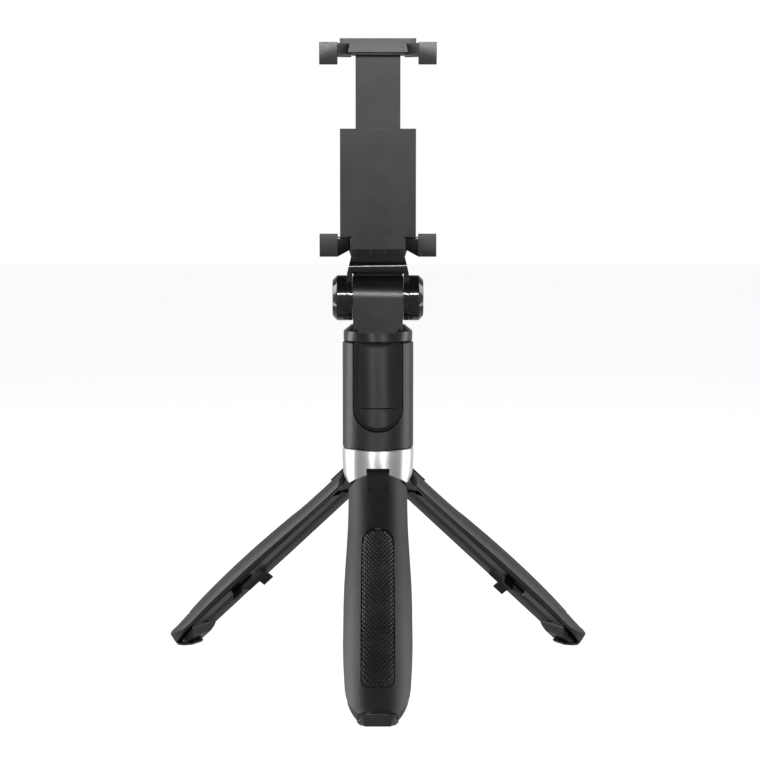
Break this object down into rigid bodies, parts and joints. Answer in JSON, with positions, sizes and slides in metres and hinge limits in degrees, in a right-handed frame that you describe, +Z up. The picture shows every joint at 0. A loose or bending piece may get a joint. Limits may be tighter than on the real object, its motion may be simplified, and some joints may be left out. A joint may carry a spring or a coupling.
{
  "type": "selfie stick",
  "caption": "Telescopic stick with a tilting spring clamp for a phone, a removable remote control and a handle that opens into a tripod.",
  "frame": {"origin": "on the ground under the middle of the footprint, legs open", "axes": "+Z up along the stick, -Y is the side that the remote control and the phone face"},
  "size_m": [0.173, 0.1514, 0.247],
  "materials": {
    "soft_touch": "soft-touch coating, charcoal",
    "groove_black": "dark satin",
    "gloss_black": "polished black",
    "black_plastic": "moulded black",
    "satin_plastic": "satin moulded charcoal",
    "rubber": "black rubber",
    "ring_metal": "bright satin",
    "tube_steel": "bright drawn tube",
    "steel": "plated",
    "nylon": "natural nylon",
    "board": "circuit board with solder mask"
  },
  "bodies": {
    "hub": {"hub_ring": "ring_metal", "hub_core": "black_plastic", "outer_tube": "tube_steel", "tube_plug": "black_plastic", "leg_pin_front": "steel", "leg_pin_right": "steel", "leg_pin_left": "steel"},
    "leg_front": {"leg_shell_front": "soft_touch", "leg_liner_front": "groove_black", "leg_grip_front": "rubber", "leg_foot_front": "black_plastic", "foot_pad_front": "rubber", "leg_clip_front": "black_plastic"},
    "leg_right": {"leg_shell_right": "soft_touch", "leg_liner_right": "groove_black", "leg_grip_right": "rubber", "leg_foot_right": "black_plastic", "foot_pad_right": "rubber", "leg_clip_right": "black_plastic"},
    "leg_left": {"leg_shell_left": "soft_touch", "leg_liner_left": "groove_black", "leg_grip_left": "rubber", "leg_foot_left": "black_plastic", "foot_pad_left": "rubber", "leg_clip_left": "black_plastic"},
    "tube_2": {"tube_2": "tube_steel", "guide_bush_2": "nylon"},
    "tube_3": {"tube_3": "tube_steel", "guide_bush_3": "nylon"},
    "tube_4": {"tube_4": "tube_steel", "guide_bush_4": "nylon"},
    "head": {"head_sleeve": "soft_touch", "head_core": "black_plastic", "neck_block": "satin_plastic", "tube_5": "tube_steel", "guide_bush_5": "nylon"},
    "remote": {"remote_back": "gloss_black", "remote_front": "black_plastic", "remote_board": "board", "remote_cell": "steel"},
    "button": {"shutter_button": "black_plastic"},
    "clamp": {"tilt_bolt": "steel", "tilt_nut": "steel", "tilt_cap_left": "gloss_black", "tilt_cap_right": "gloss_black", "tilt_yoke": "gloss_black", "clamp_base": "satin_plastic", "clamp_cover": "satin_plastic", "cover_screw_left": "steel", "cover_screw_right": "steel", "lower_pad_left": "rubber", "lower_pad_right": "rubber", "jaw_spring_left": "steel", "jaw_spring_right": "steel"},
    "jaw": {"upper_jaw": "satin_plastic", "upper_pad_left": "rubber", "upper_pad_right": "rubber"}
  },
  "joints": [
    {"name": "leg_front_fold", "type": "hinge", "parent": "hub", "child": "leg_front", "pos_m": [0, 0.01093, 0.07788], "axis": [1, 0, 0], "range_deg": [0, 49]},
    {"name": "leg_right_fold", "type": "hinge", "parent": "hub", "child": "leg_right", "pos_m": [0.00953, 0.02743, 0.07788], "axis": [-0.5, 0.866, 0], "range_deg": [0, 49]},
    {"name": "leg_left_fold", "type": "hinge", "parent": "hub", "child": "leg_left", "pos_m": [-0.00953, 0.02743, 0.07788], "axis": [-0.5, -0.866, 0], "range_deg": [0, 49]},
    {"name": "tube_2_slide", "type": "slide", "parent": "hub", "child": "tube_2", "axis": [0, 0, 1], "range_m": [0, 0.066]},
    {"name": "tube_3_slide", "type": "slide", "parent": "tube_2", "child": "tube_3", "axis": [0, 0, 1], "range_m": [0, 0.104]},
    {"name": "tube_4_slide", "type": "slide", "parent": "tube_3", "child": "tube_4", "axis": [0, 0, 1], "range_m": [0, 0.104]},
    {"name": "head_slide", "type": "slide", "parent": "tube_4", "child": "head", "axis": [0, 0, 1], "range_m": [0, 0.104]},
    {"name": "remote_pull", "type": "slide", "parent": "head", "child": "remote", "axis": [0, -1, 0], "range_m": [0, 0.02]},
    {"name": "shutter_press", "type": "slide", "parent": "remote", "child": "button", "axis": [0, 1, 0], "range_m": [0, 0.0005], "stiffness_N_per_m": 1500, "springref_m": -0.0003},
    {"name": "clamp_tilt", "type": "hinge", "parent": "head", "child": "clamp", "pos_m": [0, 0.02193, 0.14583], "axis": [1, 0, 0], "range_deg": [-60, 90]},
    {"name": "jaw_slide", "type": "slide", "parent": "clamp", "child": "jaw", "axis": [0, 0, 1], "range_m": [-0.015, 0.015], "stiffness_N_per_m": 300, "springref_m": -0.027, "deforming": ["jaw_spring_left", "jaw_spring_right"]}
  ]
}
